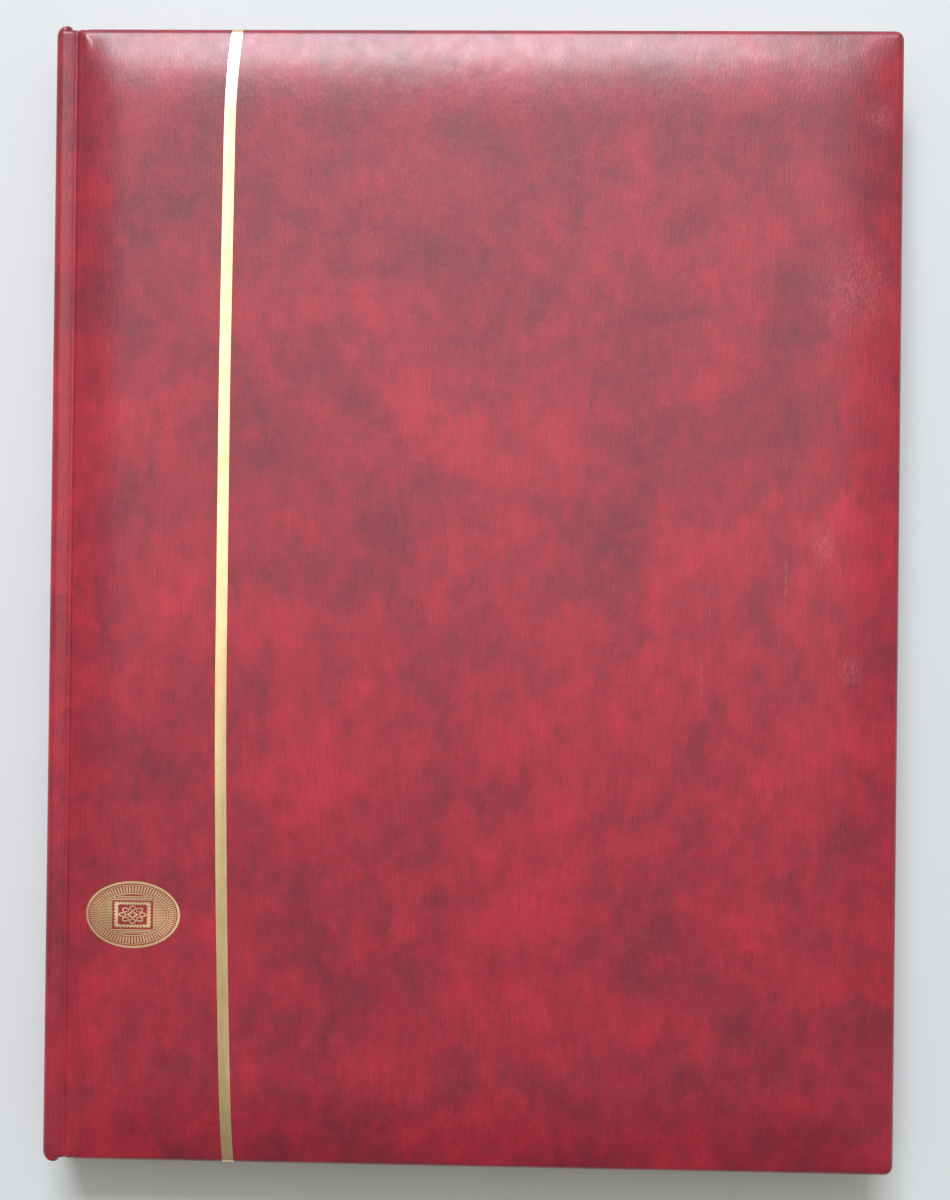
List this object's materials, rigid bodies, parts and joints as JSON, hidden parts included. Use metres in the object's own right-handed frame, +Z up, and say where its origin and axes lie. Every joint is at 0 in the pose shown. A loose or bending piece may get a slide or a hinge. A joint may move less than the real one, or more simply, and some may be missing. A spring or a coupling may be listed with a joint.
{
  "type": "stamp album",
  "caption": "Padded leatherette stamp stockbook with a gold foil line and oval emblem, hinged covers, and card leaves with clear pocket strips and glassine interleaves.",
  "frame": {"origin": "middle of the closed book's box, on the surface it lies on", "axes": "+X from the spine to the fore edge, +Y up the page from tail to head, +Z up through the thickness to the front cover"},
  "size_m": [0.227, 0.305, 0.025],
  "materials": {
    "leatherette": "marbled dark red grained leatherette, semi-gloss",
    "foam": "open-cell foam padding",
    "greyboard": "grey binder's board",
    "endpaper": "matte cream paper",
    "page_card": "matte cream card",
    "linen": "white binder's linen",
    "staple_wire": "galvanised wire",
    "gold_foil": "hot-stamped gold foil",
    "pocket_film": "translucent pocket strip film",
    "glassine": "translucent glassine sheet"
  },
  "bodies": {
    "back_cover": {"back_leatherette": "leatherette", "back_foam": "foam", "back_board": "greyboard", "back_endpaper": "endpaper", "back_joint_leatherette": "leatherette", "back_joint_cloth": "linen"},
    "spine": {"spine_leatherette": "leatherette", "spine_foam": "foam", "spine_board": "greyboard", "spine_lining": "linen", "binding_block": "linen", "binding_staples": "staple_wire"},
    "front_cover": {"front_leatherette": "leatherette", "front_foam": "foam", "front_board": "greyboard", "front_endpaper": "endpaper", "front_joint_leatherette": "leatherette", "front_joint_cloth": "linen", "gold_line": "gold_foil", "gold_emblem": "gold_foil"},
    "leaf_1": {"leaf_card_1": "page_card", "leaf_linen_1": "linen", "leaf_front_strips_1": "pocket_film", "leaf_back_strips_1": "pocket_film"},
    "leaf_2": {"leaf_card_2": "page_card", "leaf_linen_2": "linen", "leaf_front_strips_2": "pocket_film", "leaf_back_strips_2": "pocket_film"},
    "leaf_3": {"leaf_card_3": "page_card", "leaf_linen_3": "linen", "leaf_front_strips_3": "pocket_film", "leaf_back_strips_3": "pocket_film"},
    "leaf_4": {"leaf_card_4": "page_card", "leaf_linen_4": "linen", "leaf_front_strips_4": "pocket_film", "leaf_back_strips_4": "pocket_film"},
    "leaf_5": {"leaf_card_5": "page_card", "leaf_linen_5": "linen", "leaf_front_strips_5": "pocket_film", "leaf_back_strips_5": "pocket_film"},
    "leaf_6": {"leaf_card_6": "page_card", "leaf_linen_6": "linen", "leaf_front_strips_6": "pocket_film", "leaf_back_strips_6": "pocket_film"},
    "leaf_7": {"leaf_card_7": "page_card", "leaf_linen_7": "linen", "leaf_front_strips_7": "pocket_film", "leaf_back_strips_7": "pocket_film"},
    "leaf_8": {"leaf_card_8": "page_card", "leaf_linen_8": "linen", "leaf_front_strips_8": "pocket_film", "leaf_back_strips_8": "pocket_film"},
    "interleaf_1": {"interleaf_1": "glassine"},
    "interleaf_2": {"interleaf_2": "glassine"},
    "interleaf_3": {"interleaf_3": "glassine"},
    "interleaf_4": {"interleaf_4": "glassine"},
    "interleaf_5": {"interleaf_5": "glassine"},
    "interleaf_6": {"interleaf_6": "glassine"},
    "interleaf_7": {"interleaf_7": "glassine"}
  },
  "joints": [
    {"name": "spine_hinge", "type": "hinge", "parent": "back_cover", "child": "spine", "pos_m": [-0.1093, 0, 0.0047], "axis": [0, -1, 0], "range_deg": [0, 90], "deforming": ["back_joint_leatherette", "back_joint_cloth"]},
    {"name": "front_cover_hinge", "type": "hinge", "parent": "spine", "child": "front_cover", "pos_m": [-0.1093, 0, 0.0203], "axis": [0, -1, 0], "range_deg": [0, 90], "deforming": ["front_joint_leatherette", "front_joint_cloth"]},
    {"name": "leaf_1_turn", "type": "hinge", "parent": "spine", "child": "leaf_1", "pos_m": [-0.101, 0, 0.0125], "axis": [0, -1, 0], "range_deg": [-88, 88]},
    {"name": "leaf_2_turn", "type": "hinge", "parent": "spine", "child": "leaf_2", "pos_m": [-0.101, 0, 0.0125], "axis": [0, -1, 0], "range_deg": [-88, 88]},
    {"name": "leaf_3_turn", "type": "hinge", "parent": "spine", "child": "leaf_3", "pos_m": [-0.101, 0, 0.0125], "axis": [0, -1, 0], "range_deg": [-88, 88]},
    {"name": "leaf_4_turn", "type": "hinge", "parent": "spine", "child": "leaf_4", "pos_m": [-0.101, 0, 0.0125], "axis": [0, -1, 0], "range_deg": [-88, 88]},
    {"name": "leaf_5_turn", "type": "hinge", "parent": "spine", "child": "leaf_5", "pos_m": [-0.101, 0, 0.0125], "axis": [0, -1, 0], "range_deg": [-88, 88]},
    {"name": "leaf_6_turn", "type": "hinge", "parent": "spine", "child": "leaf_6", "pos_m": [-0.101, 0, 0.0125], "axis": [0, -1, 0], "range_deg": [-88, 88]},
    {"name": "leaf_7_turn", "type": "hinge", "parent": "spine", "child": "leaf_7", "pos_m": [-0.101, 0, 0.0125], "axis": [0, -1, 0], "range_deg": [-88, 88]},
    {"name": "leaf_8_turn", "type": "hinge", "parent": "spine", "child": "leaf_8", "pos_m": [-0.101, 0, 0.0125], "axis": [0, -1, 0], "range_deg": [-88, 88]},
    {"name": "interleaf_1_turn", "type": "hinge", "parent": "spine", "child": "interleaf_1", "pos_m": [-0.101, 0, 0.0125], "axis": [0, -1, 0], "range_deg": [-88, 88]},
    {"name": "interleaf_2_turn", "type": "hinge", "parent": "spine", "child": "interleaf_2", "pos_m": [-0.101, 0, 0.0125], "axis": [0, -1, 0], "range_deg": [-88, 88]},
    {"name": "interleaf_3_turn", "type": "hinge", "parent": "spine", "child": "interleaf_3", "pos_m": [-0.101, 0, 0.0125], "axis": [0, -1, 0], "range_deg": [-88, 88]},
    {"name": "interleaf_4_turn", "type": "hinge", "parent": "spine", "child": "interleaf_4", "pos_m": [-0.101, 0, 0.0125], "axis": [0, -1, 0], "range_deg": [-88, 88]},
    {"name": "interleaf_5_turn", "type": "hinge", "parent": "spine", "child": "interleaf_5", "pos_m": [-0.101, 0, 0.0125], "axis": [0, -1, 0], "range_deg": [-88, 88]},
    {"name": "interleaf_6_turn", "type": "hinge", "parent": "spine", "child": "interleaf_6", "pos_m": [-0.101, 0, 0.0125], "axis": [0, -1, 0], "range_deg": [-88, 88]},
    {"name": "interleaf_7_turn", "type": "hinge", "parent": "spine", "child": "interleaf_7", "pos_m": [-0.101, 0, 0.0125], "axis": [0, -1, 0], "range_deg": [-88, 88]}
  ],
  "couplings": [
    {"joint": "leaf_1_turn", "follows": "front_cover_hinge", "ratio": 0.97},
    {"joint": "leaf_2_turn", "follows": "front_cover_hinge", "ratio": 0.93},
    {"joint": "leaf_3_turn", "follows": "front_cover_hinge", "ratio": 0.88},
    {"joint": "leaf_4_turn", "follows": "front_cover_hinge", "ratio": 0.82},
    {"joint": "leaf_5_turn", "follows": "spine_hinge", "ratio": -0.82},
    {"joint": "leaf_6_turn", "follows": "spine_hinge", "ratio": -0.88},
    {"joint": "leaf_7_turn", "follows": "spine_hinge", "ratio": -0.93},
    {"joint": "leaf_8_turn", "follows": "spine_hinge", "ratio": -0.97},
    {"joint": "interleaf_1_turn", "follows": "front_cover_hinge", "ratio": 0.95},
    {"joint": "interleaf_2_turn", "follows": "front_cover_hinge", "ratio": 0.905},
    {"joint": "interleaf_3_turn", "follows": "front_cover_hinge", "ratio": 0.85},
    {"joint": "interleaf_4_turn", "follows": "front_cover_hinge", "ratio": 0.4},
    {"joint": "interleaf_5_turn", "follows": "spine_hinge", "ratio": -0.85},
    {"joint": "interleaf_6_turn", "follows": "spine_hinge", "ratio": -0.905},
    {"joint": "interleaf_7_turn", "follows": "spine_hinge", "ratio": -0.95}
  ]
}
